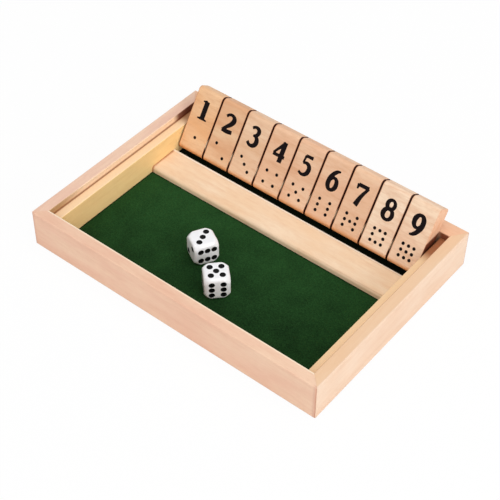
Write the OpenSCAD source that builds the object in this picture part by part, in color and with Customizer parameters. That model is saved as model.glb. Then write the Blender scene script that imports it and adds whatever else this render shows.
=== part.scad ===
// Shut the box game: a shallow open frame with a felt floor, nine number tiles that
// swing on one rod, a low divider that they fall forward on, and two dice.
// +Z is up, -Y is the front, and the origin is the middle of the underside.

/* [Frame] */
// Outer length of the frame, left to right
case_l = 222; // [190:1:280]
// Outer width of the frame, front to back
case_w = 158; // [150:1:210]
// Height of the frame boards
case_h = 27.2; // [25:0.1:32]
// Thickness of the front, left and right boards
board_t = 8.2; // [6:0.1:10]
// Thickness of the back board
back_t = 10.5; // [7:0.1:12]
// Radius of the frame's upright outer corners
corner_r = 1.6; // [1:0.1:4]
// Radius of the boards' and rails' long edges
edge_r = 0.8; // [0.4:0.1:1.5]
// Thickness of the side rails
rail_t = 6.2; // [4:0.1:9]
// Step from the boards' tops down to the rails' tops
rail_drop = 5.1; // [3:0.1:7]

/* [Floor] */
// Thickness of the plywood floor
base_t = 2.4; // [2:0.1:3.5]
// Width of the rabbet that takes the floor's edge
rabbet_w = 3.5; // [2:0.1:5]
// Thickness of the felt
felt_t = 0.5; // [0.3:0.1:1.5]

/* [Divider] */
// Width of the channel behind the divider, to the back board's inner face
channel_w = 29.4; // [27:0.1:34]
// Width of the divider, front to back
divider_w = 22.5; // [16:0.1:26]
// Height of the divider above the felt
divider_h = 4.6; // [3:0.1:4.8]
// Radius of the divider's front top edge
divider_front_r = 2.5; // [1:0.1:3]
// Radius of the divider's back top edge
divider_back_r = 1.2; // [0.5:0.1:2.5]

/* [Tiles] */
// Length of a tile from foot to top
tile_l = 45.2; // [40:0.1:48]
// Thickness of a tile
tile_t = 12.2; // [9:0.1:12.4]
// Gap beside each tile
tile_gap = 1; // [0.6:0.1:2]
// Radius of a tile's two top edges
tile_top_r = 3; // [1:0.1:4]
// Radius of a tile's two foot edges
tile_foot_r = 3.6; // [3:0.1:4]
// Radius of a tile's long side edges
tile_side_r = 0.4; // [0.2:0.1:1]

/* [Hinge] */
// Diameter of the rod
rod_d = 3; // [2:0.1:4]
// Radial clearance of the rod in each bore
rod_fit = 0.05; // [0.02:0.01:0.1]
// Distance from a tile's foot up to the rod
foot_l = 10.7; // [8:0.1:10.8]
// Height of the rod above the felt
rod_h = 11.4; // [11.3:0.1:13]
// Distance from the rod to the back board's inner face
rod_back = 15.7; // [13.5:0.1:17]
// Outer diameter of a spacer washer
washer_d = 8; // [6:0.1:11]
// Play on each side of a washer
washer_play = 0.1; // [0.05:0.05:0.2]

/* [Dice] */
// Side of a die
die_side = 16; // [12:0.5:18]
// Radius of a die's edges
die_edge_r = 2.6; // [1:0.1:3]
// Diameter of the ball that rounds a die's corners
die_ball_d = 23.4; // [21:0.1:26]
// Diameter of a pip
pip_d = 3.3; // [2:0.1:3.6]
// Depth of a pip
pip_depth = 0.5; // [0.2:0.1:1]
// Distance from a face's middle to a pip, along the face's sides
pip_place = 3.6; // [3:0.1:4]
// Distance from the middle of a six to its end pips
pip_end = 4.4; // [4:0.1:4.8]
// First die's centre, to the right of the frame's middle
die_1_x = -19.1; // [-60:0.1:-18]
// First die's centre, back from the front board
die_1_y = 48.5; // [12:0.1:70]
// Turn of the first die
die_1_turn = 61; // [0:1:90]
// Second die's centre, to the right of the frame's middle
die_2_x = 6; // [5:0.1:60]
// Second die's centre, back from the front board
die_2_y = 31.3; // [12:0.1:70]
// Turn of the second die
die_2_turn = 46; // [0:1:90]

/* [Hidden] */
$fn = 48;
tile_count = 9;
// Clearance round pieces that are let in or glued between others
glue_gap = 0.1;
// Clearance where a moving piece stops against another
rest_gap = 0.3;
// Overrun of a cutter past what it cuts
cut = 1;

// The space inside the boards, and its front and back faces
inner_l = case_l - 2 * board_t;
inner_w = case_w - board_t - back_t;
front_y = board_t - case_w / 2;
back_y = case_w / 2 - back_t;
felt_z = base_t + felt_t;
// The row of tiles fills the length between the rails, with a gap beside each
row_l = inner_l - 2 * rail_t;
tile_w = (row_l - tile_gap) / tile_count - tile_gap;
pitch = tile_w + tile_gap;
rod_y = back_y - rod_back;
rod_z = felt_z + rod_h;
// The tiles lean until their backs stop at the back board's rounded top edge
stop_y = rod_back + edge_r;
stop_z = case_h - edge_r - rod_z;
stop_reach = tile_t / 2 + rest_gap + edge_r;
lean = acos(stop_reach / norm([stop_y, stop_z])) - atan2(stop_z, stop_y);
// The ball that cuts a pip's shallow bowl
pip_ball_r = (pow(pip_d / 2, 2) + pow(pip_depth, 2)) / (2 * pip_depth);

beech = "#E9C3A0";
tile_beech = "#E8BE98";
birch = "#D9B98C";
felt_green = "#163A1C";
steel = "#B9BCC0";
washer_white = "#E9E4D6";
die_white = "#F2F2F0";

// What a corner at the origin loses when it is rounded, in the first quadrant
module corner_waste(r) {
    difference() {
        translate([-cut, -cut]) square(r + cut);
        translate([r, r]) circle(r);
    }
}

// A w by h rectangle from the origin, with one radius for each corner, from the
// lower left corner anticlockwise
module rounded_rect(w, h, radii) {
    places = [[0, 0], [w, 0], [w, h], [0, h]];
    difference() {
        square([w, h]);
        for (k = [0:3])
            if (radii[k] > 0)
                translate(places[k]) rotate(90 * k) corner_waste(radii[k]);
    }
}

// A bar along +X whose cross-section is drawn in Y and Z
module bar(length) {
    rotate([90, 0, 90]) linear_extrude(length) children();
}

// A frame board's cross-section: outer face at 0, inner face at t, rabbet below
module board_profile(t) {
    difference() {
        rounded_rect(t, case_h, [edge_r, 0, edge_r, edge_r]);
        translate([t - rabbet_w, -cut]) square([rabbet_w + cut, base_t + cut]);
    }
}

// A corner of the frame: -1 or 1 picks left or right, front or back
function outer_corner(x, y) = [x * case_l / 2, y * case_w / 2];
function inner_corner(x, y) = [x * inner_l / 2, y < 0 ? front_y : back_y];
// A point on a corner's mitre line, past the inner corner where far is over 1
function mitre_point(x, y, far) =
    outer_corner(x, y) + far * (inner_corner(x, y) - outer_corner(x, y));

// The space between the mitres at corners a and b
module mitre_wedge(a, b) {
    far = 1.4;
    translate([0, 0, -cut])
        linear_extrude(case_h + 2 * cut)
            polygon([
                mitre_point(a[0], a[1], -far), mitre_point(b[0], b[1], -far),
                mitre_point(b[0], b[1], far), mitre_point(a[0], a[1], far)
            ]);
}

// Rounds the frame's four upright outer edges
module upright_waste() {
    for (k = [0:3]) {
        place = [[-1, -1], [1, -1], [1, 1], [-1, 1]][k];
        translate([place[0] * case_l / 2, place[1] * case_w / 2, -cut])
            rotate(90 * k)
                linear_extrude(case_h + 2 * cut) corner_waste(corner_r);
    }
}

// One mitred board from corner a to corner b, anticlockwise seen from above
module board(a, b, t, length, turn) {
    color(beech)
        difference() {
            intersection() {
                translate(outer_corner(a[0], a[1]))
                    rotate(turn) bar(length) board_profile(t);
                mitre_wedge(a, b);
            }
            upright_waste();
        }
}

module front_wall() { board([-1, -1], [1, -1], board_t, case_l, 0); }
module right_wall() { board([1, -1], [1, 1], board_t, case_w, 90); }
module back_wall() { board([1, 1], [-1, 1], back_t, case_l, 180); }
module left_wall() { board([-1, 1], [-1, -1], board_t, case_w, 270); }

// A cylinder along +X on the hinge line, from x to x + length
module on_hinge(x, length, d) {
    translate([x, rod_y, rod_z]) rotate([0, 90, 0]) cylinder(h = length, d = d);
}

// The rail on the right, from the front board to the back board
module rail() {
    rail_h = case_h - rail_drop - base_t;
    color(beech)
        difference() {
            translate([row_l / 2, back_y - glue_gap, base_t])
                rotate([90, 0, 0])
                    linear_extrude(inner_w - 2 * glue_gap)
                        rounded_rect(rail_t, rail_h, [0, 0, 0, edge_r]);
            on_hinge(row_l / 2 - cut, rail_t + 2 * cut, rod_d + 2 * rod_fit);
        }
}

module right_rail() { rail(); }
module left_rail() { mirror([1, 0, 0]) rail(); }

// A sheet inside the boards, let into them by reach, with its underside at z
module floor_sheet(length, reach, z, t) {
    translate([-length / 2 - reach, front_y - reach, z])
        cube([length + 2 * reach, inner_w + 2 * reach, t]);
}

module base_panel() {
    color(birch) floor_sheet(inner_l, rabbet_w - glue_gap, 0, base_t);
}

module felt() {
    color(felt_green) floor_sheet(row_l, -glue_gap, base_t, felt_t);
}

module divider() {
    length = row_l - 2 * glue_gap;
    color(beech)
        translate([-length / 2, back_y - channel_w - divider_w, felt_z])
            bar(length)
                rounded_rect(divider_w, divider_h, [0, 0, divider_back_r, divider_front_r]);
}

module hinge_rod() {
    length = inner_l - 2 * rest_gap;
    color(steel) on_hinge(-length / 2, length, rod_d);
}

// One washer in each gap, and one at each end of the row
module spacers() {
    washer_t = tile_gap - 2 * washer_play;
    color(washer_white)
        for (k = [0:tile_count])
            difference() {
                x = k * pitch - row_l / 2 + washer_play;
                on_hinge(x, washer_t, washer_d);
                on_hinge(x - cut, washer_t + 2 * cut, rod_d + 2 * rod_fit);
            }
}

// Tile k of the row, counted from 1 at the left
module tile(k) {
    side_radii = [tile_foot_r, tile_foot_r, tile_top_r, tile_top_r];
    plan_radii = [tile_side_r, tile_side_r, tile_side_r, tile_side_r];
    color(tile_beech)
        translate([(k - 1) * pitch + tile_gap - row_l / 2, rod_y, rod_z])
            rotate([-lean, 0, 0])
                difference() {
                    intersection() {
                        translate([0, -tile_t / 2, -foot_l])
                            bar(tile_w) rounded_rect(tile_t, tile_l, side_radii);
                        translate([0, -tile_t / 2, -foot_l - cut])
                            linear_extrude(tile_l + 2 * cut)
                                rounded_rect(tile_w, tile_t, plan_radii);
                    }
                    translate([-cut, 0, 0])
                        rotate([0, 90, 0])
                            cylinder(h = tile_w + 2 * cut, d = rod_d + 2 * rod_fit);
                }
}

// Places of the pips of each number on a face, from its middle
function pip_places(number) =
    let (p = pip_place)
    number == 1 ? [[0, 0]] :
    number == 2 ? [[p, -p], [-p, p]] :
    number == 3 ? [[p, p], [0, 0], [-p, -p]] :
    number == 4 ? [for (x = [-p, p], y = [-p, p]) [x, y]] :
    number == 5 ? concat([[0, 0]], pip_places(4)) :
    [for (x = [-pip_end, 0, pip_end], y = [-p, p]) [x, y]];

// The bowls of one face's pips, cut into the top of a die about the origin
module pip_bowls(number) {
    for (place = pip_places(number))
        translate([place[0], place[1], die_side / 2 - pip_depth + pip_ball_r])
            sphere(pip_ball_r);
}

// A square bar along Z with rounded edges, about the origin
module die_bar() {
    radii = [die_edge_r, die_edge_r, die_edge_r, die_edge_r];
    translate([-die_side / 2, -die_side / 2, -die_side / 2])
        linear_extrude(die_side) rounded_rect(die_side, die_side, radii);
}

// A die about the origin, with three up, six in front and two on the left
module die() {
    difference() {
        intersection() {
            die_bar();
            rotate([90, 0, 0]) die_bar();
            rotate([0, 90, 0]) die_bar();
            sphere(d = die_ball_d);
        }
        pip_bowls(3);
        rotate([90, 0, 0]) pip_bowls(6);
        rotate([0, -90, 0]) pip_bowls(2);
        rotate([0, 90, 0]) pip_bowls(5);
        rotate([-90, 0, 0]) pip_bowls(1);
        rotate([180, 0, 0]) pip_bowls(4);
    }
}

// Lays a die on the felt, x right of the middle and y back from the front board
module on_felt(x, y, turn) {
    color(die_white)
        translate([x, front_y + y, felt_z + die_side / 2]) rotate(turn) children();
}

module die_1() { on_felt(die_1_x, die_1_y, die_1_turn) die(); }
module die_2() { on_felt(die_2_x, die_2_y, die_2_turn) rotate([0, -90, 0]) die(); }

front_wall();
back_wall();
left_wall();
right_wall();
left_rail();
right_rail();
base_panel();
felt();
divider();
hinge_rod();
spacers();
tile(1);  // tile_1
tile(2);  // tile_2
tile(3);  // tile_3
tile(4);  // tile_4
tile(5);  // tile_5
tile(6);  // tile_6
tile(7);  // tile_7
tile(8);  // tile_8
tile(9);  // tile_9
die_1();
die_2();
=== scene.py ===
# %% [markdown]
# # A shut the box game
# The real object is a shallow wooden tray with a felt floor, nine number tiles that swing on
# one steel rod, a low divider that they fall on, and two dice. The construction is loaded as
# it was packed, in metres and at its real size, and nothing of it is moved here. This lesson
# dresses it: softened wood with grain, felt, printed numbers and glossy dice.

# %% Load the construction
import math

import bpy
from mathutils import Euler, Matrix, Vector


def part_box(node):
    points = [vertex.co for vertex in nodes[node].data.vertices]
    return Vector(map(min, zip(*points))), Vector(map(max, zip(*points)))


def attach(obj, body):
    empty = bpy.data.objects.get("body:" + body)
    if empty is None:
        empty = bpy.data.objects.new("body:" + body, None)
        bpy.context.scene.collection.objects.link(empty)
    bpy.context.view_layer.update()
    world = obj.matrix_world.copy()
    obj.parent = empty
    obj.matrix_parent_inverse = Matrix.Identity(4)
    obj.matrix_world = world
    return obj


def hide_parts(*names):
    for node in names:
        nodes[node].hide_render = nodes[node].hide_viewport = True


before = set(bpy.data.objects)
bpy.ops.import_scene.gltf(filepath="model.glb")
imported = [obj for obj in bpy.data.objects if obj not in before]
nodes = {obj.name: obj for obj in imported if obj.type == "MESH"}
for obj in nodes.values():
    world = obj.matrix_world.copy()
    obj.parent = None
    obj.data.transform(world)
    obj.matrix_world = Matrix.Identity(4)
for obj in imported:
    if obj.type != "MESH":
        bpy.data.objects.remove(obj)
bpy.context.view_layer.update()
MM = 0.001


def in_mm(vector):
    """A size in millimetres, rounded for printing."""
    return [round(v / MM, 1) for v in vector]


# %% [markdown]
# The camera comes first, because every finish is judged through it. The photograph was taken
# from above the right front corner, with a long lens that keeps the sides nearly parallel.
# The camera is given a place and a point to look at, then a slight roll about its own axis.

# %% Camera
camera_place = Vector((354.8, -452.9, 583.8)) * MM
camera_aim = Vector((5.0, -5.3, 10.0)) * MM
camera_roll = math.radians(0.93)
camera_lens = 93.0


def look_from(place, aim):
    """The rotation of a camera or lamp at place that faces aim."""
    return (aim - place).to_track_quat("-Z", "Y")


bpy.ops.object.camera_add(location=camera_place)
camera = bpy.context.object
camera.name = "photo_camera"
camera.rotation_mode = "QUATERNION"
roll = Euler((0, 0, camera_roll)).to_quaternion()
camera.rotation_quaternion = look_from(camera_place, camera_aim) @ roll
camera.data.lens = camera_lens
camera.data.clip_start = 0.02
camera.data.clip_end = 50
bpy.context.scene.camera = camera
bpy.context.scene.view_settings.view_transform = "Standard"
print("camera at", in_mm(camera_place), "mm, lens", camera_lens)


# %% [markdown]
# A material is a graph of nodes, and a graph is easier to read as sums. This small class wraps
# a socket, so that `rings * 0.4 + streaks` adds the Math nodes by itself. Everything else
# comes from one method, `node`, which takes a node's type, its settings and its inputs.
#
# A `Finish` is one material. It can lay marks over a colour, painted shade and painted highlights
# as well as real stains: each mark has a tint, a strength and limits, and a limit is an axis with
# the place where the mark starts and the place where it is full. The axis `ROD` is the distance from
# the rod.

# %% Shader maths
class Wire:
    """A shader socket that can be used in Python expressions."""

    def __init__(self, tree, socket):
        self.tree = tree
        self.socket = socket

    def node(self, kind, inputs=(), output=0, **settings):
        """A new node's output, with its settings made first and its inputs linked or set."""
        made = self.tree.nodes.new("ShaderNode" + kind)
        for name, value in settings.items():
            setattr(made, name, value)
        for name, value in dict(inputs).items():
            if isinstance(value, Wire):
                self.tree.links.new(value.socket, made.inputs[name])
            else:
                made.inputs[name].default_value = value
        return Wire(self.tree, made.outputs[output])

    def math(self, operation, *values, clamp=False):
        """A Math node on these values, which the operators below use."""
        return self.node("Math", dict(enumerate(values)), operation=operation, use_clamp=clamp)

    def __add__(self, other):
        return self.math("ADD", self, other)

    __radd__ = __add__

    def __sub__(self, other):
        return self.math("SUBTRACT", self, other)

    def __rsub__(self, other):
        return self.math("SUBTRACT", other, self)

    def __mul__(self, other):
        return self.math("MULTIPLY", self, other)

    __rmul__ = __mul__

    def __truediv__(self, other):
        return self.math("DIVIDE", self, other)

    def __pow__(self, other):
        return self.math("POWER", self, other)

    def clamped(self):
        """This value held between 0 and 1."""
        return self.math("ADD", self, 0.0, clamp=True)

    def between(self, low, high):
        """0 below low, 1 above high and a smooth step between."""
        return self.node(
            "MapRange",
            {"Value": self, "From Min": low, "From Max": high},
            interpolation_type="SMOOTHSTEP",
        )

    def mix(self, first, second):
        """first where this is 0 and second where it is 1, for colours."""
        return self.node(
            "Mix",
            {0: self, 6: first, 7: second},
            output=2,
            data_type="RGBA",
        )

    def part(self, axis):
        """The X, Y or Z of these coordinates."""
        return self.node("SeparateXYZ", {"Vector": self}, output=axis)

    def stretched(self, x, y, z):
        """These coordinates multiplied, axis by axis."""
        return self.node("VectorMath", {0: self, 1: (x, y, z)}, operation="MULTIPLY")

    def noise(self, detail=2.0, roughness=0.5):
        """Noise at these coordinates, one wave for each unit."""
        inputs = {"Vector": self, "Scale": 1.0, "Detail": detail, "Roughness": roughness}
        return self.node("TexNoise", inputs, output="Fac")


def srgb(red, green, blue):
    """A colour given as it looks on screen, 0 to 255, in the linear numbers of a shader."""
    def linear(value):
        value /= 255
        return value / 12.92 if value <= 0.04045 else ((value + 0.055) / 1.055) ** 2.4

    return (linear(red), linear(green), linear(blue), 1.0)


rod_low, rod_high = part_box("hinge_rod")
rod_middle = (rod_low + rod_high) / 2
rod_axis = rod_middle / MM


class Finish:
    """A material with one Principled shader, read in millimetres from Object coordinates.

    here is the place on the object. place is the same, turned and moved for the pattern.
    """

    def __init__(self, name, turn=0.0, offset=(0.0, 0.0, 0.0), **plain):
        self.material = bpy.data.materials.new(name)
        self.material.use_nodes = True
        tree = self.material.node_tree
        self.shader = tree.nodes["Principled BSDF"]
        self.tree = tree
        start = Wire(tree, None).node("TexCoord", output="Object")
        inputs = {"Vector": start, "Location": offset, "Rotation": (0, 0, turn)}
        inputs["Scale"] = (1 / MM, 1 / MM, 1 / MM)
        self.place = start.node("Mapping", inputs)
        self.here = start.stretched(1 / MM, 1 / MM, 1 / MM)
        for name_of_input, value in plain.items():
            self.shader.inputs[name_of_input.replace("_", " ")].default_value = value

    def drive(self, **wires):
        """Links each wire to the shader's input of that name."""
        for name, wire in wires.items():
            self.tree.links.new(wire.socket, self.shader.inputs[name.replace("_", " ")])

    def inside(self, limits):
        """1 beyond every limit. Each is an axis, where it starts and where it is full, in mm."""
        mask = None
        for axis, start, full in limits:
            if axis == "ROD":
                arm = self.here.node("VectorMath", {0: self.here, 1: rod_axis}, operation="SUBTRACT")
                arm = arm.stretched(0, 1, 1)
                along = arm.node("VectorMath", {0: arm}, operation="LENGTH", output="Value")
            else:
                along = self.here.part(axis)
            step = along.between(start, full)
            mask = step if mask is None else mask * step
        return mask

    def with_shade_and_stains(self, color, shade_and_stains):
        """color with its marks of painted shade and light and its stains laid over it: each one's
        tint, its strength and its limits.
        """
        for tint, strength, limits in shade_and_stains:
            color = (self.inside(limits) * strength).mix(color, srgb(*tint))
        return color

    def bump(self, height, depth, strength=1.0):
        """Raises the surface by height, where depth is in millimetres."""
        inputs = {"Height": height, "Distance": depth * MM, "Strength": strength}
        self.drive(Normal=self.place.node("Bump", inputs))


print("rod axis in mm", in_mm(rod_middle))


# %% [markdown]
# The boards are pale beech with a thin satin varnish. A photograph of a board wrapped round
# each piece would show the same figure on every side. Here the wood is solid: the growth rings
# are tubes round a pith that lies outside the board, so faces, edges and end grain agree as on
# sawn timber. Slow noise bends the rings, long noise makes the streaks, and a fine one makes
# the fibres, which also raise the surface by some hundredths of a millimetre.
#
# Each noise is given in waves per millimetre, first along the grain and then across it. In the
# sum for the grain, each mark has its weight: sharp rings, streaks, mottling and fibres.

# %% Wood
satin = 0.18
satin_roughness = 0.52
board_ring = 3.1
tile_ring = 2.6
ring_bend = 16
fibre_height = 0.05


def wood(name, tints, turn, pith, ring, figure, shade_and_stains):
    """Wood with its grain along X, or along Y after a quarter turn.

    tints are the pale, the deep and the blushing colour, pith moves the middle of the rings,
    ring is their width in millimetres, and figure sets the contrast.
    """
    pale, deep, blush = [srgb(*tint) for tint in tints]
    finish = Finish(name, turn=turn, offset=pith, Specular_IOR_Level=satin)
    place = finish.place

    def noise(along, across, **settings):
        """Noise drawn out along the grain."""
        return place.stretched(along, across, across).noise(**settings)

    warp = noise(0.012, 0.06, detail=2.5)
    patchy = noise(0.02, 0.11, detail=2).between(0.4, 0.7)
    streaks = noise(0.02, 0.24, detail=3).between(0.3, 0.8)
    mottle = noise(0.16, 0.5, detail=3, roughness=0.6)
    fibres = noise(0.12, 2.2, detail=3, roughness=0.65)
    blotches = noise(0.022, 0.07, detail=3).between(0.3, 0.7)
    pores = noise(0.35, 3.4, detail=1).between(0.66, 0.76)

    width = place.part("Y")
    height = place.part("Z")
    radius = (width * width + height * height) ** 0.5 + ring_bend * warp
    turns = radius / ring
    rings = turns.math("FRACT", turns) ** 3
    grain = rings * patchy * 0.45 + streaks * 0.5 + (mottle - 0.5) * 1.3 + (fibres - 0.5) * 0.8

    body = blotches.mix(pale, blush)
    color = (grain * figure).clamped().mix(body, deep)
    color = (pores * 0.25).mix(color, deep)
    color = finish.with_shade_and_stains(color, shade_and_stains)
    finish.drive(Base_Color=color, Roughness=satin_roughness + 0.22 * (fibres - 0.5))
    finish.bump(fibres - 0.6 * pores, fibre_height, 0.5)
    return finish.material


print("ring widths in mm", board_ring, tile_ring)


# %% [markdown]
# A sawn and sanded arris is never knife sharp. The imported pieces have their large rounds, and
# what they lack is the small softening of every other edge, which also draws the fine line
# where two boards meet in a mitre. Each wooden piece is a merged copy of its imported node, with
# its flat faces cleaned of triangles and its sharp edges bevelled, and it stands for that node.

# %% Softened copies of the wooden pieces
arris = 0.16 * MM
arris_angle = math.radians(35)
same_point = 0.002 * MM
same_plane = math.radians(0.5)
end_round = 1.6 * MM
at_the_end = 0.01 * MM


def only(*objects):
    """Selects these objects alone and makes the first one active."""
    bpy.ops.object.select_all(action="DESELECT")
    for o in objects:
        o.select_set(True)
    bpy.context.view_layer.objects.active = objects[0]


def merged_copy(node, name):
    """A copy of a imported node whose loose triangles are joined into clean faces."""
    source = nodes[node]
    copy = bpy.data.objects.new(name, source.data.copy())
    bpy.context.scene.collection.objects.link(copy)
    only(copy)
    bpy.ops.object.mode_set(mode="EDIT")
    bpy.ops.mesh.select_all(action="SELECT")
    bpy.ops.mesh.remove_doubles(threshold=same_point)
    bpy.ops.mesh.dissolve_limited(angle_limit=same_plane)
    bpy.ops.object.mode_set(mode="OBJECT")
    return copy


def apply(o, kind, **settings):
    """Adds a modifier, sets it and applies it."""
    only(o)
    modifier = o.modifiers.new(kind.lower(), kind)
    for name, value in settings.items():
        setattr(modifier, name, value)
    bpy.ops.object.modifier_apply(modifier=modifier.name)


def soften(o):
    """Bevels the sharp edges and shades the rounds smoothly and the flats flat."""
    apply(o, "BEVEL", width=arris, segments=2, limit_method="ANGLE",
          angle_limit=arris_angle, use_clamp_overlap=True)
    bpy.ops.object.shade_smooth_by_angle(angle=math.radians(30))
    apply(o, "WEIGHTED_NORMAL", keep_sharp=True)


def place_piece(o, body, material, replaced):
    """Gives a finished piece its material and body, and hides the node it stands for."""
    o.data.materials.clear()
    o.data.materials.append(material)
    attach(o, body)
    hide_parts(replaced)
    return o


def round_ends(o, node):
    """Rounds the two top edges across the ends of a bar that lies along X."""
    low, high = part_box(node)
    only(o)
    bpy.ops.object.mode_set(mode="EDIT")
    bpy.ops.mesh.select_mode(type="EDGE")
    bpy.ops.mesh.select_all(action="DESELECT")
    bpy.ops.object.mode_set(mode="OBJECT")
    points = o.data.vertices
    for edge in o.data.edges:
        ends = [points[i].co for i in edge.vertices]
        outer = all(min(c.x - low.x, high.x - c.x) < at_the_end for c in ends)
        edge.select = outer and all(high.z - c.z < at_the_end for c in ends)
    bpy.ops.object.mode_set(mode="EDIT")
    bpy.ops.mesh.bevel(offset=end_round, segments=6, affect="EDGES")
    bpy.ops.object.mode_set(mode="OBJECT")


def wooden(node, body, material):
    """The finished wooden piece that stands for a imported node."""
    o = merged_copy(node, node + "_wood")
    if node == "divider":
        round_ends(o, node)
    soften(o)
    return place_piece(o, body, material, node)


print("arris in mm", round(arris / MM, 2))


# %% [markdown]
# The four boards are cut from different lengths of the same pale beech, so each has a figure
# and a tint of its own, and the grain turns the corner at each mitre. The rails inside the two
# short sides are a yellower wood, and the divider is the cleanest piece.
#
# The second table holds painted light and shade: painted shade at the rounded corners and ends, a
# painted contact shadow along the foot, painted shadow in the pockets beside the row of tiles and
# on the ledges behind them, lighter ledge tops and inner faces as painted light, and painted
# highlights along the front board's inner top arris and the divider's back edge. The right board
# also has a warmer top and a darker inner top arris.

# %% Frame, rails, divider and floor panel
quarter = math.pi / 2
ledge_top = ("Z", 21.6, 22.0)

boards = [
    # node, slot, quarter turns, pith, figure, then the tints: pale, deep and blush
    ("front_wall", "walls", 0, (40, 55, -70), 0.42,
     ((240, 204, 176), (217, 164, 134), (234, 188, 162))),
    ("back_wall", "walls", 0, (310, -60, -64), 0.50,
     ((244, 206, 175), (220, 160, 120), (238, 190, 156))),
    ("left_wall", "walls", 1, (90, 30, -58), 0.45,
     ((243, 208, 182), (214, 170, 150), (235, 194, 172))),
    ("right_wall", "walls", 1, (520, 72, -66), 0.36,
     ((236, 209, 185), (214, 170, 134), (232, 199, 172))),
    ("left_rail", "rails", 1, (700, 24, -44), 0.35,
     ((255, 221, 157), (228, 180, 114), (252, 214, 150))),
    ("right_rail", "rails", 1, (905, 38, -52), 0.35,
     ((255, 221, 157), (228, 180, 114), (252, 214, 150))),
    ("divider", "bar", 0, (610, 48, -92), 0.50,
     ((247, 221, 191), (224, 176, 134), (242, 208, 172))),
    ("base_panel", "plywood", 0, (830, 90, -40), 0.60,
     ((240, 204, 154), (204, 152, 96), (234, 194, 142))),
]
mitre_shade = (204, 148, 128)
corner_shade = (186, 124, 100)
foot_shade = (176, 132, 112)
ledge_shade = (150, 92, 50)
pocket_shade = (120, 48, 8)
bar_end_shade = (184, 112, 64)
painted_light_and_tints = {
    # tint, strength, then the limits: axis, where it starts and where it is full, in mm
    "front_wall": [
        # Painted shade beside the rounded corners, a painted highlight on the inner top arris and a
        # painted contact shadow along the foot.
        (mitre_shade, 0.4, [("X", 107.6, 109.6), ("Y", -77.0, -78.2)]),
        (mitre_shade, 0.4, [("X", -107.6, -109.6), ("Y", -77.0, -78.2)]),
        (corner_shade, 0.75, [("X", 109.6, 110.6), ("Z", 26.9, 26.0)]),
        (corner_shade, 0.75, [("X", -109.6, -110.6), ("Z", 26.9, 26.0)]),
        ((255, 238, 212), 0.8, [("Y", -72.5, -71.4), ("Z", 25.8, 26.8)]),
        (foot_shade, 0.55, [("Z", 1.1, 0.2)]),
    ],
    "left_wall": [
        # The inner face is painted lighter as lit, with the front board's painted shadow near the
        # front, painted shade along its foot and painted shadow beside the first tile.
        ((255, 224, 184), 0.6, [("X", -103.4, -102.95)]),
        ((172, 130, 80), 0.85, [("X", -103.4, -102.95), ("Y", -35, -66)]),
        ((140, 84, 46), 0.8, [("X", -103.4, -102.95), ("Z", 24.0, 22.3)]),
        ((104, 30, 2), 0.9, [("X", -103.4, -102.95), ("Y", 46, 53)]),
    ],
    "right_wall": [
        # A warmer top and a darker inner top arris, painted shade at the back corner and a painted
        # contact shadow along the foot.
        ((236, 190, 142), 0.5, [("Z", 26.3, 27.0), ("X", 110.4, 109.8)]),
        ((208, 152, 116), 0.4, [("X", 103.6, 102.9), ("Z", 25.8, 26.8)]),
        (corner_shade, 0.7, [("Y", 76.6, 78.2), ("X", 109.8, 110.6)]),
        (foot_shade, 0.5, [("Z", 1.1, 0.2)]),
    ],
    "back_wall": [
        (pocket_shade, 0.85, [("Y", 69.4, 68.6), ("Z", 27.0, 25.8), ("X", 94, 98)]),
        (pocket_shade, 0.85, [("Y", 69.4, 68.6), ("Z", 27.0, 25.8), ("X", -94, -98)]),
    ],
    "left_rail": [
        # The ledge top is painted lighter as lit, with painted shade along its foot at the wall and
        # the first tile's painted shadow at its back end.
        ((250, 216, 178), 0.85, [ledge_top]),
        (ledge_shade, 0.8, [("X", -101.8, -102.7), ledge_top]),
        ((160, 88, 30), 0.7, [("Y", 48, 58)]),
    ],
    "right_rail": [
        # The ledge top is painted lighter as lit, with painted shade along its foot at the wall and
        # the last tile's painted shadow at its back end.
        ((252, 214, 172), 0.85, [ledge_top]),
        (ledge_shade, 0.7, [("X", 101.8, 102.7), ledge_top]),
        ((150, 70, 16), 0.85, [("Y", 42, 54)]),
    ],
    "divider": [
        # Painted shade at the two ends and a painted highlight along the back top edge.
        (bar_end_shade, 0.8, [("X", 94.4, 96.2)]),
        (bar_end_shade, 0.8, [("X", -94.4, -96.2)]),
        ((255, 246, 230), 0.8, [("Y", 37.6, 38.3), ("Z", 6.4, 7.0)]),
    ],
}
for node, slot, turns, pith, figure, tints in boards:
    material = wood(node + "_grain", tints, turns * quarter, pith, board_ring, figure,
                    painted_light_and_tints.get(node, ()))
    wooden(node, "tray", material)
print("boards made", len(boards))


# %% [markdown]
# The tiles are cut one after the other from a long moulding, so their grain runs across them,
# along the row. They have been handled and oiled, and are a little browner than the frame. Their
# sides are painted dark brown as the shade in the narrow gaps, their side edges carry painted
# shade, and the rounded foot of each front is painted warm as its shade. The washers have rubbed
# a pale ring round the rod on each right side. The ninth tile's right side shows, so it keeps its
# pale wood and has painted shadow only low down.

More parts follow.
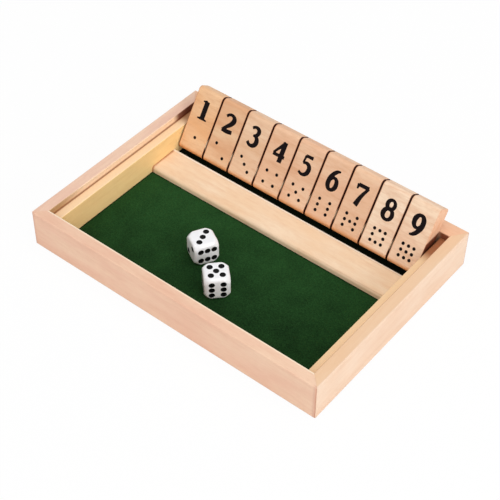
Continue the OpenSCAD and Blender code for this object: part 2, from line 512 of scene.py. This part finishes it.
# %% Tiles
tile_names = [f"tile_{k}" for k in range(1, 10)]
tile_tints = [
    # pale, blush
    ((242, 200, 158), (236, 180, 130)),
    ((237, 199, 161), (226, 175, 135)),
    ((240, 205, 173), (231, 188, 152)),
    ((241, 201, 167), (231, 182, 147)),
    ((240, 200, 167), (232, 182, 148)),
    ((240, 200, 167), (231, 182, 148)),
    ((241, 202, 169), (233, 187, 153)),
    ((250, 224, 197), (243, 208, 178)),
    ((248, 220, 191), (242, 205, 175)),
]
tile_deep = (206, 146, 102)
tile_figure = 0.58
foot_round_shade = (238, 160, 94)
edge_shade = (214, 132, 78)
gap_shade = (70, 18, 2)
rubbed_ring = (246, 214, 180)
low_side_shadow = (96, 34, 4)
for k, (tile, (pale, blush)) in enumerate(zip(tile_names, tile_tints)):
    tile_low, tile_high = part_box(tile)
    left = tile_low.x / MM
    right = tile_high.x / MM
    is_first = k == 0
    is_last = k == len(tile_names) - 1
    shade_and_stains = [
        # Painted warm shade on the rounded foot of the front.
        (foot_round_shade, 0.8, [("Z", 12.5, 8.6), ("Y", 48.5, 45)]),
        (edge_shade, 0.45, [("X", left + 1.1, left + 0.1)]),
        (edge_shade, 0.35, [("X", right - 0.9, right - 0.1)]),
        # The sides are painted dark brown as the shade in the narrow gaps between tiles.
        (gap_shade, 0.6 if is_first else 0.97, [("X", left + 0.36, left + 0.12)]),
    ]
    if is_last:
        # Painted shadow low on the last tile's right side.
        shade_and_stains.append((low_side_shadow, 0.93, [("X", right - 0.3, right - 0.02), ("Z", 27.6, 25.6)]))
    else:
        shade_and_stains.append((gap_shade, 0.97, [("X", right - 0.36, right - 0.12)]))
        shade_and_stains.append((rubbed_ring, 0.9, [("X", right - 0.3, right - 0.02), ("ROD", 6.6, 6.15)]))
    pith = (140.0 * k, 52 + 7 * (k % 3), -70 - 9 * (k % 4))
    material = wood(tile + "_grain", (pale, tile_deep, blush), 0, pith, tile_ring, tile_figure,
                    shade_and_stains)
    wooden(tile, tile, material)
print("tiles made", len(tile_names))


# %% [markdown]
# The washers are thin nylon, and the rod is bright drawn steel with fine rings left by the
# die. Both shapes are right as they were packed, so these nodes stay and get a finish only.

# %% Rod and washers
nylon = Finish("natural_nylon", Roughness=0.42)
cloud = nylon.place.stretched(0.5, 0.5, 0.5).noise(detail=2)
nylon.drive(Base_Color=cloud.mix(srgb(226, 204, 176), srgb(240, 222, 196)))

steel = Finish("drawn_steel", Metallic=1.0)
rings_on_rod = steel.place.stretched(6, 0.2, 0.2).noise(detail=2)
steel.drive(
    Base_Color=rings_on_rod.mix(srgb(172, 174, 178), srgb(205, 207, 210)),
    Roughness=0.24 + 0.16 * rings_on_rod,
)
for node, finish in (("spacers", nylon), ("hinge_rod", steel)):
    nodes[node].data.materials.clear()
    nodes[node].data.materials.append(finish.material)
print("rod in mm", in_mm(rod_high - rod_low))


# %% [markdown]
# The felt is glued flat on the floor panel. It is modelled as a sheet: a fine grid with a
# slight unevenness from the glue below, given its thickness and a soft cut edge. Its nap is
# too short to model as hairs, so the material has it, as fine mottling, bump and sheen.

# %% Felt
felt_low, felt_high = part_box("felt")
felt_size = felt_high - felt_low
felt_cell = 1.6 * MM
felt_unevenness = 0.1 * MM
felt_cut = 0.12 * MM


def cells(length):
    """How many cells of the felt's grid go into a length."""
    return round(length / felt_cell)


def felt_sheet():
    """The felt as a sheet of its real size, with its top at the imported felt's."""
    bpy.ops.mesh.primitive_grid_add(x_subdivisions=cells(felt_size.x), size=1,
                                    y_subdivisions=cells(felt_size.y))
    o = bpy.context.object
    o.name = "felt_sheet"
    only(o)
    middle = (felt_low + felt_high) / 2
    o.scale = (felt_size.x, felt_size.y, 1)
    o.location = (middle.x, middle.y, felt_high.z)
    bpy.ops.object.transform_apply(location=True, rotation=False, scale=True)
    unevenness = bpy.data.textures.new("glue_unevenness", "CLOUDS")
    unevenness.noise_scale = 9 * MM
    apply(o, "DISPLACE", texture=unevenness, texture_coords="LOCAL", direction="Z",
          strength=felt_unevenness, mid_level=1.0)
    apply(o, "SOLIDIFY", thickness=felt_size.z - felt_unevenness, offset=-1)
    apply(o, "BEVEL", width=felt_cut, segments=2, limit_method="ANGLE",
          angle_limit=math.radians(60))
    bpy.ops.object.shade_smooth_by_angle(angle=math.radians(40))
    return o


felt_finish = Finish("green_felt", Roughness=0.95, Specular_IOR_Level=0.1,
                     Sheen_Weight=0.08, Sheen_Roughness=0.5, Sheen_Tint=srgb(120, 190, 110))
nap = felt_finish.place.stretched(1.3, 1.3, 1.3).noise(detail=4, roughness=0.75)
patches = felt_finish.place.stretched(0.07, 0.07, 0.07).noise(detail=3)
# Painted light: the felt is made lighter towards the back and towards the left.
painted_light_back = felt_finish.inside([("Y", -50, 12)])
painted_light_left = felt_finish.inside([("X", 10, -70)])
shade = (nap * 2.0 + patches * 0.6 + painted_light_back * 0.2 + painted_light_left * 0.15 - 0.98).clamped()
pile = shade.mix(srgb(9, 34, 11), srgb(38, 80, 37))
painted_edge_shade = (2, 6, 2)
# Painted shade along the felt's edges, and painted near-black shade over the channel behind the
# divider.
pile = felt_finish.with_shade_and_stains(pile, [
    (painted_edge_shade, 0.85, [("X", -95.4, -96.1)]),
    (painted_edge_shade, 0.6, [("X", 95.6, 96.2)]),
    (painted_edge_shade, 0.6, [("Y", 15.4, 16.4)]),
    ((3, 6, 2), 0.96, [("Y", 37.5, 39.2)]),
])
felt_finish.drive(Base_Color=pile)
felt_finish.bump(nap, 0.3, 0.7)
felt = place_piece(felt_sheet(), "tray", felt_finish.material, "felt")
print("felt in mm", in_mm(felt_size))


# %% [markdown]
# Each tile carries a number, printed in black ink. A ready font would not have this bold,
# pen-drawn shape, so the numbers are drawn as a sign writer would draw them: each stroke is a
# Bezier curve whose radius is the pen's half width at that point. The round tubes are joined
# by a voxel remesh, which melts the strokes together, and then pressed flat to a film of ink.

# %% Pen strokes of the numbers
# Each stroke is a list of points: millimetres right of the middle, millimetres above the
# base line, and the pen's half width. None at the end closes the stroke. A nine is a six
# turned over.
number_height = 13.4
six = [[(3.2, 12.6, 0.45), (0.8, 11.7, 0.95), (-1.7, 8.9, 1.25), (-2.8, 5.2, 1.4),
        (-2.0, 2.0, 1.25), (0.3, 0.85, 0.85), (2.5, 2.3, 1.25), (3.1, 4.6, 1.35),
        (2.2, 7.1, 1.1), (0.3, 7.9, 0.75), (-1.9, 6.4, 0.7)]]
PEN = {
    1: [[(0.4, 0.5, 1.4), (0.4, 12.9, 1.4)],
        [(-2.4, 12.2, 0.4), (-0.8, 12.4, 0.7), (0.4, 12.9, 0.6)],
        [(-2.9, 0.45, 0.45), (0.4, 0.75, 0.75), (3.7, 0.45, 0.45)]],
    2: [[(-3.2, 10.7, 0.85), (-1.4, 12.4, 0.85), (1.1, 12.5, 1.0), (2.8, 10.3, 1.4),
         (1.9, 7.3, 1.35), (-0.8, 4.2, 1.05), (-3.3, 1.2, 0.9)],
        [(-3.6, 1.15, 1.0), (0.2, 1.2, 1.25), (4.0, 1.7, 1.15)]],
    3: [[(-2.8, 11.5, 0.85), (-0.8, 12.6, 0.85), (1.6, 12.1, 1.1), (2.5, 10.1, 1.25),
         (1.2, 7.9, 0.95), (-0.6, 7.3, 0.6)],
        [(-0.6, 7.4, 0.6), (1.8, 6.8, 1.05), (3.1, 4.2, 1.4), (1.9, 1.5, 1.2),
         (-0.9, 0.8, 0.9), (-3.3, 2.4, 0.95)]],
    4: [[(2.0, 12.6, 0.95), (-3.8, 4.6, 0.6)],
        [(-3.9, 4.2, 0.85), (4.1, 4.2, 0.85)],
        [(1.7, 12.8, 1.3), (1.7, 0.4, 1.3)]],
    5: [[(-1.9, 12.4, 0.85), (3.4, 12.5, 0.95)],
        [(-1.8, 12.6, 0.7), (-2.3, 7.6, 0.6)],
        [(-2.3, 7.5, 0.55), (-0.1, 8.3, 0.9), (2.3, 7.1, 1.2), (3.0, 4.4, 1.35),
         (1.8, 1.8, 1.15), (-0.6, 0.8, 0.85), (-3.5, 1.7, 0.75)]],
    6: six,
    7: [[(-3.6, 12.1, 0.95), (3.4, 12.2, 0.95)],
        [(-3.7, 12.6, 0.8), (-3.7, 9.6, 0.5)],
        [(3.3, 12.3, 0.75), (0.3, 6.3, 1.05), (-1.3, 0.6, 1.4)]],
    8: [[(0.2, 12.5, 0.8), (2.6, 9.9, 1.05), (0.1, 7.1, 0.95), (-2.4, 9.9, 1.2), None],
        [(0.1, 7.3, 0.95), (3.1, 3.9, 1.2), (0.0, 0.8, 0.85), (-3.0, 3.9, 1.35), None]],
    9: [[(-x, number_height - y, w) for x, y, w in six[0]]],
}
pen_weight = 1.2
ink_voxel = 0.17 * MM
ink_film = 0.05 * MM


def pen_stroke(points):
    """A tube along a smooth curve, as thick at each point as the pen was pressed there."""
    closed = points[-1] is None
    points = points[:-1] if closed else points
    bpy.ops.curve.primitive_bezier_curve_add()
    o = bpy.context.object
    curve = o.data
    curve.dimensions = "3D"
    curve.resolution_u = 16
    curve.bevel_depth = MM
    curve.bevel_resolution = 4
    curve.use_fill_caps = True
    spline = curve.splines[0]
    spline.bezier_points.add(len(points) - 2)
    spline.use_cyclic_u = closed
    spline.radius_interpolation = "CARDINAL"
    for at, (x, y, half_width) in zip(spline.bezier_points, points):
        at.handle_left_type = "AUTO"
        at.handle_right_type = "AUTO"
        at.co = Vector((x, y - number_height / 2, 0)) * MM
        at.radius = half_width * pen_weight
    only(o)
    bpy.ops.object.convert(target="MESH")
    return bpy.context.object


def pressed_flat(parts, name):
    """Joins the parts into one closed film of ink in the XY plane."""
    only(*parts)
    if len(parts) > 1:
        bpy.ops.object.join()
    o = bpy.context.object
    o.name = name
    bpy.ops.object.transform_apply(location=True, rotation=True, scale=True)
    apply(o, "REMESH", mode="VOXEL", voxel_size=ink_voxel, use_smooth_shade=True)
    thickness = max(v.co.z for v in o.data.vertices)
    bpy.ops.object.mode_set(mode="EDIT")
    bpy.ops.mesh.select_all(action="SELECT")
    bpy.ops.transform.resize(value=(1, 1, ink_film / thickness))
    bpy.ops.object.mode_set(mode="OBJECT")
    return o


print("pen strokes", sum(len(strokes) for strokes in PEN.values()))


# %% [markdown]
# Under its number each tile of this game carries as many small dots, in a plain layout such
# as dominoes have. A dot is a pressed drop of ink, made once for each place in the layout.

# %% Dots under the numbers
# Millimetres, as all the sizes of the print are
dot_radius = 1.15
dot_step = 4.0


def dot_places(count):
    """Places of count dots on a three by three grid, as on dominoes."""
    corners = [(-1, 1), (1, -1), (1, 1), (-1, -1)]
    sides = [(-1, 0), (1, 0), (0, 1), (0, -1)]
    places = [(0, 0)] if count % 2 else []
    pairs = count // 2 * 2
    return places + (corners + sides)[:pairs]


def dots(count):
    """The dots of one tile, as round drops before they are pressed."""
    made = []
    for column, row in dot_places(count):
        place = Vector((column, row, 0)) * dot_step * MM
        bpy.ops.mesh.primitive_uv_sphere_add(segments=32, ring_count=16,
                                             radius=dot_radius * MM, location=place)
        made.append(bpy.context.object)
    return made


print("dots", sum(len(dot_places(count)) for count in PEN))


# %% [markdown]
# The print lies on the front face of a leaning tile. The lean isn't typed in: it is read from
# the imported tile, whose largest face towards the front gives the normal and the two edges.

# %% Print on the tiles
def front_of(node):
    """The frame of a tile's flat front: X along the row, Y up the tile and Z out of it."""
    mesh = nodes[node].data
    facing = [p for p in mesh.polygons if p.normal.y < -0.3 and p.normal.z > 0.1]
    normal = max(facing, key=lambda p: p.area).normal.copy()
    along = Vector((1, 0, 0))
    up = normal.cross(along)
    flat = [p for p in facing if p.normal.dot(normal) > 0.9999]
    corners = [mesh.vertices[i].co for p in flat for i in p.vertices]
    middle = (min(c.x for c in corners) + max(c.x for c in corners)) / 2
    top = max(c.dot(up) for c in corners)
    origin = along * middle + up * top + normal * max(c.dot(normal) for c in corners)
    axes = Matrix((along, up, normal)).transposed().to_4x4()
    return Matrix.Translation(origin) @ axes


# Where each number lies on its tile, in millimetres: left and right of the middle line, and
# its top and foot below the top of the flat front
NUMBER_BOX = {
    1: (-3.9, 3.8, 4.3, 18.1),
    2: (-4.8, 4.6, 4.3, 18.3),
    3: (-4.8, 4.3, 3.9, 18.8),
    4: (-5.0, 4.5, 4.5, 19.0),
    5: (-4.3, 4.3, 4.9, 19.5),
    6: (-4.5, 4.7, 4.9, 19.9),
    7: (-4.8, 4.6, 5.4, 20.4),
    8: (-4.6, 4.9, 4.9, 19.9),
    9: (-4.7, 4.8, 4.9, 20.3),
}
dots_drop = 30.9
black_ink = Finish("black_ink", Roughness=0.6, Specular_IOR_Level=0.05)
speckle = black_ink.place.stretched(2.5, 2.5, 2.5).noise(detail=3)
black_ink.drive(Base_Color=speckle.mix(srgb(6, 3, 4), srgb(30, 22, 24)))


def fitted(o, box):
    """Stretches a number to its box, measured from the top of the flat front."""
    left, right, top, foot = box
    low = [min(v.co[i] for v in o.data.vertices) for i in (0, 1)]
    high = [max(v.co[i] for v in o.data.vertices) for i in (0, 1)]
    wide = (right - left) * MM / (high[0] - low[0])
    tall = (foot - top) * MM / (high[1] - low[1])
    size = Matrix.Diagonal((wide, tall, 1, 1))
    corner = Matrix.Translation((-low[0], -high[1], 0))
    o.data.transform(Matrix.Translation((left * MM, -top * MM, 0)) @ size @ corner)
    return o


def printed(o, tile, drop):
    """Lays a film of ink on a tile's front, drop millimetres below the flat's top."""
    o.data.transform(front_of(tile) @ Matrix.Translation((0, -drop * MM, 0)))
    o.data.materials.clear()
    o.data.materials.append(black_ink.material)
    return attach(o, tile)


for k, tile in enumerate(tile_names, start=1):
    number = pressed_flat([pen_stroke(s) for s in PEN[k]], f"{tile}_number")
    printed(fitted(number, NUMBER_BOX[k]), tile, 0)
    pattern = pressed_flat(dots(k), f"{tile}_dots")
    printed(pattern, tile, dots_drop)
print("numbers printed", len(PEN))


# %% [markdown]
# The dice are moulded in white plastic, and their pips are drilled bowls painted black. A real
# die is tumbled until a ball would touch its corners. So a bevelled cube is cut to where it
# overlaps a ball, remeshed into even small faces, and smoothed, which rounds the rims between
# flat and ball as tumbling does. The bowls are cut with flattened balls, and the cut faces
# keep the cutter's black paint.

# %% Dice
white_plastic = Finish("white_plastic", Roughness=0.2, Coat_Weight=0.4, Coat_Roughness=0.08,
                       Subsurface_Weight=0.5, Subsurface_Radius=(1, 1, 1), Subsurface_Scale=4 * MM)
bloom = white_plastic.place.stretched(0.12, 0.12, 0.12).noise(detail=2)
white_plastic.drive(Base_Color=bloom.mix(srgb(236, 236, 239), srgb(245, 245, 247)))
pip_paint = Finish("pip_paint", Roughness=0.5, Specular_IOR_Level=0.1)
dab = pip_paint.place.stretched(1.5, 1.5, 1.5).noise(detail=2)
pip_paint.drive(Base_Color=dab.mix(srgb(4, 4, 5), srgb(14, 13, 15)))

# Millimetres, apart from die_tumbling, which counts the passes of smoothing
die_side = 16.5
die_ball = 11.6
die_round = 2.0
die_voxel = 0.3
die_tumbling = 15
pip_radius = 1.95
pip_depth = 0.55
pip_step = 3.6
pip_end = 4.4
# Where the pips of each number lie, from the middle of its face
LAYOUT = {
    1: [(0, 0)],
    2: [(pip_step, -pip_step), (-pip_step, pip_step)],
    3: [(pip_step, pip_step), (0, 0), (-pip_step, -pip_step)],
    4: [(x, y) for x in (-pip_step, pip_step) for y in (-pip_step, pip_step)],
    6: [(x, y) for x in (-pip_end, 0, pip_end) for y in (-pip_step, pip_step)],
}
LAYOUT[5] = LAYOUT[1] + LAYOUT[4]
# Which number faces up after each turn of the die about its own axes
FACES = {3: (0, 0, 0), 6: (quarter, 0, 0), 2: (0, -quarter, 0), 5: (0, quarter, 0),
         1: (-quarter, 0, 0), 4: (math.pi, 0, 0)}


def rounded_cube(name):
    """A bevelled cube, turned down to a ball at its corners and tumbled smooth."""
    bpy.ops.mesh.primitive_uv_sphere_add(segments=96, ring_count=48, radius=die_ball * MM)
    ball = bpy.context.object
    bpy.ops.mesh.primitive_cube_add(size=die_side * MM)
    o = bpy.context.object
    o.name = name
    only(o)
    bpy.ops.object.mode_set(mode="EDIT")
    bpy.ops.mesh.select_all(action="SELECT")
    bpy.ops.mesh.bevel(offset=die_round * MM, segments=6, profile=0.5, affect="EDGES")
    bpy.ops.object.mode_set(mode="OBJECT")
    apply(o, "BOOLEAN", object=ball, operation="INTERSECT", solver="EXACT")
    bpy.data.objects.remove(ball)
    apply(o, "REMESH", mode="VOXEL", voxel_size=die_voxel * MM, use_smooth_shade=True)
    apply(o, "SMOOTH", factor=0.5, iterations=die_tumbling)
    o.data.materials.append(white_plastic.material)
    return o


def pip_cutter():
    """All the flattened balls of a die's twenty-one pips, in one object."""
    balls = []
    for number, turn in FACES.items():
        facing = Euler(turn).to_matrix().to_4x4()
        for x, y in LAYOUT[number]:
            bpy.ops.mesh.primitive_uv_sphere_add(segments=28, ring_count=14)
            ball = bpy.context.object
            place = Matrix.Translation(Vector((x, y, die_side / 2)) * MM)
            size = Matrix.Diagonal((pip_radius * MM, pip_radius * MM, pip_depth * MM, 1))
            ball.data.transform(facing @ place @ size)
            balls.append(ball)
    only(*balls)
    bpy.ops.object.join()
    cutter = bpy.context.object
    cutter.data.materials.append(pip_paint.material)
    return cutter


def die(name, node, turn, tipped):
    """A die that stands for a packed one, turned on the felt as the photograph shows it."""
    o = rounded_cube(name)
    cutter = pip_cutter()
    apply(o, "BOOLEAN", object=cutter, operation="DIFFERENCE", solver="EXACT",
          material_mode="TRANSFER")
    bpy.data.objects.remove(cutter)
    low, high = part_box(node)
    tip = Euler((0, -quarter if tipped else 0, 0)).to_matrix().to_4x4()
    spin = Matrix.Rotation(math.radians(turn), 4, "Z")
    middle = (low + high) / 2
    middle.z = low.z + die_side / 2 * MM
    o.data.transform(Matrix.Translation(middle) @ spin @ tip)
    only(o)
    bpy.ops.object.shade_smooth_by_angle(angle=math.radians(32))
    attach(o, node)
    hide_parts(node)
    return o


first_die = die(name="die_1_moulded", node="die_1", turn=61, tipped=False)
second_die = die(name="die_2_moulded", node="die_2", turn=46, tipped=True)
print("faces on the dice", len(first_die.data.polygons), len(second_die.data.polygons))


# %% [markdown]
# The studio is a pale floor that keeps a faint shadow, an even white sky and three soft lamps:
# one above, one on the right that makes the right side the brightest, and a weaker one in
# front. The camera, and what mirrors in gloss, see the floor as white paper.

# %% Floor and light
white = (1, 1, 1, 1)
paper_grey = (0.9, 0.9, 0.9, 1)
paper_glow = 0.95
floor_side = 12
floor_drop = 0.05 * MM
sky_level = 0.55
lamps = [
    # name, place in metres, side in metres, level
    ("top_lamp", (0.35, 0.1, 1.5), 1.2, 0.3),
    ("right_lamp", (1.6, -0.3, 0.7), 1.0, 0.4),
    ("front_lamp", (-0.4, -1.5, 0.9), 1.2, 0.2),
]


def seen_ray(start):
    """1 for a ray from the camera or off a gloss, and 0 for a ray that only lights."""
    camera_ray = start.node("LightPath", output="Is Camera Ray")
    glossy_ray = start.node("LightPath", output="Is Glossy Ray")
    return (camera_ray + glossy_ray).clamped()


def studio_floor():
    """A floor that takes a shadow but glows like white paper where it is seen."""
    bpy.ops.mesh.primitive_plane_add(size=floor_side, location=(0, 0, -floor_drop))
    o = bpy.context.object
    o.name = "studio_floor"
    material = bpy.data.materials.new("white_paper")
    material.use_nodes = True
    tree = material.node_tree
    paper = tree.nodes["Principled BSDF"]
    paper.inputs["Base Color"].default_value = paper_grey
    paper.inputs["Roughness"].default_value = 1.0
    paper.inputs["Specular IOR Level"].default_value = 0.0
    start = Wire(tree, None)
    share = seen_ray(start) * paper_glow
    glow = start.node("Emission", {"Color": white, "Strength": 1.0}, output="Emission")
    lit = Wire(tree, paper.outputs[0])
    blend = start.node("MixShader", {0: share, 1: lit, 2: glow}, output="Shader")
    tree.links.new(blend.socket, tree.nodes["Material Output"].inputs["Surface"])
    o.data.materials.append(material)


def sky(strength):
    """An even white sky that lights at strength and is seen as white."""
    world = bpy.data.worlds.new("studio_sky")
    bpy.context.scene.world = world
    world.use_nodes = True
    background = world.node_tree.nodes["Background"]
    background.inputs["Color"].default_value = white
    level = seen_ray(Wire(world.node_tree, None)) * (1 - strength) + strength
    world.node_tree.links.new(level.socket, background.inputs["Strength"])


def softbox(name, place, size, level):
    """A square lamp. level is the light it sends to a face turned to it, 1 for full white."""
    place = Vector(place)
    aim = Vector((0, 0, 0.01))
    bpy.ops.object.light_add(type="AREA", location=place)
    lamp = bpy.context.object
    lamp.name = name
    lamp.data.size = size
    lamp.data.energy = level * (math.pi * (aim - place).length) ** 2
    lamp.rotation_mode = "QUATERNION"
    lamp.rotation_quaternion = look_from(place, aim)


studio_floor()
sky(sky_level)
for lamp in lamps:
    softbox(*lamp)
print("lamps", len(lamps), "sky", sky_level)
